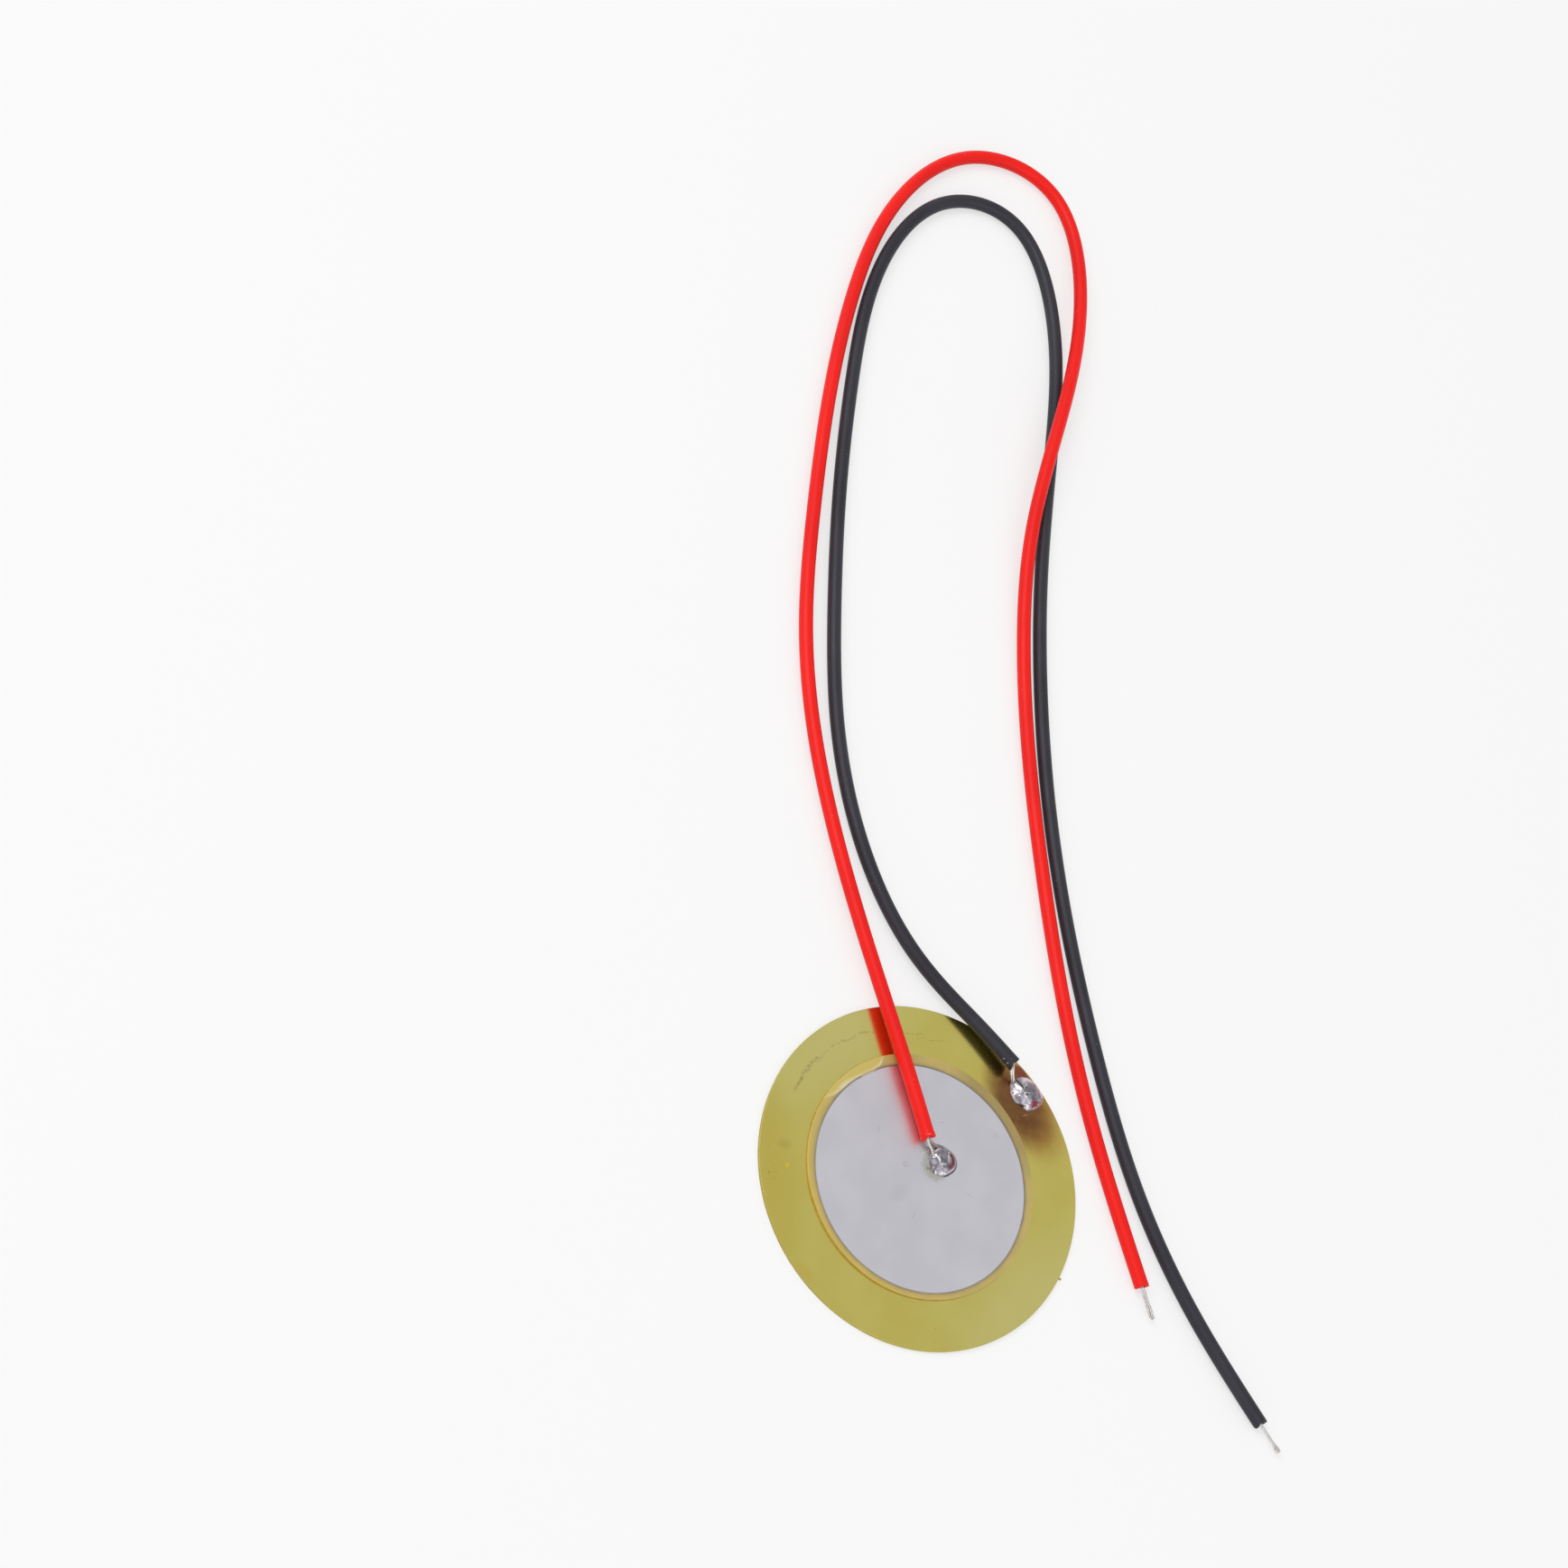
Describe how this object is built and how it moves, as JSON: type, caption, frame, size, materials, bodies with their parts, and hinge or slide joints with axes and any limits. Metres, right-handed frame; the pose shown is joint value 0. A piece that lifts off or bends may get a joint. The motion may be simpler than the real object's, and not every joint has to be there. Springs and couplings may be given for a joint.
{
  "type": "piezo disc",
  "caption": "Thin brass disc with a bonded piezoelectric ceramic, printed silver electrodes and soldered flexible leads with stripped ends.",
  "frame": {"origin": "centre of the brass disc's back face", "axes": "+Z out of the side with the ceramic and the solder; +Y the way the leads leave the disc; +X to the right of +Y seen from above"},
  "size_m": [0.0431, 0.1114, 0.0024],
  "materials": {
    "brass_sheet": "satin",
    "adhesive": "gloss",
    "silver_print": "matte",
    "piezo_ceramic": "matte",
    "solder": "gloss",
    "flux_residue": "gloss",
    "tinned_strand": "satin",
    "red_jacket": "satin",
    "black_jacket": "satin"
  },
  "bodies": {
    "root": {"brass_disc": "brass_sheet", "bond_layer": "adhesive", "lower_electrode": "silver_print", "ceramic_disc": "piezo_ceramic", "upper_electrode": "silver_print", "centre_solder": "solder", "centre_flux": "flux_residue", "rim_solder": "solder", "rim_flux": "flux_residue", "red_root": "tinned_strand", "black_root": "tinned_strand", "red_lead": "red_jacket", "black_lead": "black_jacket", "red_tip": "tinned_strand", "black_tip": "tinned_strand"}
  },
  "joints": []
}
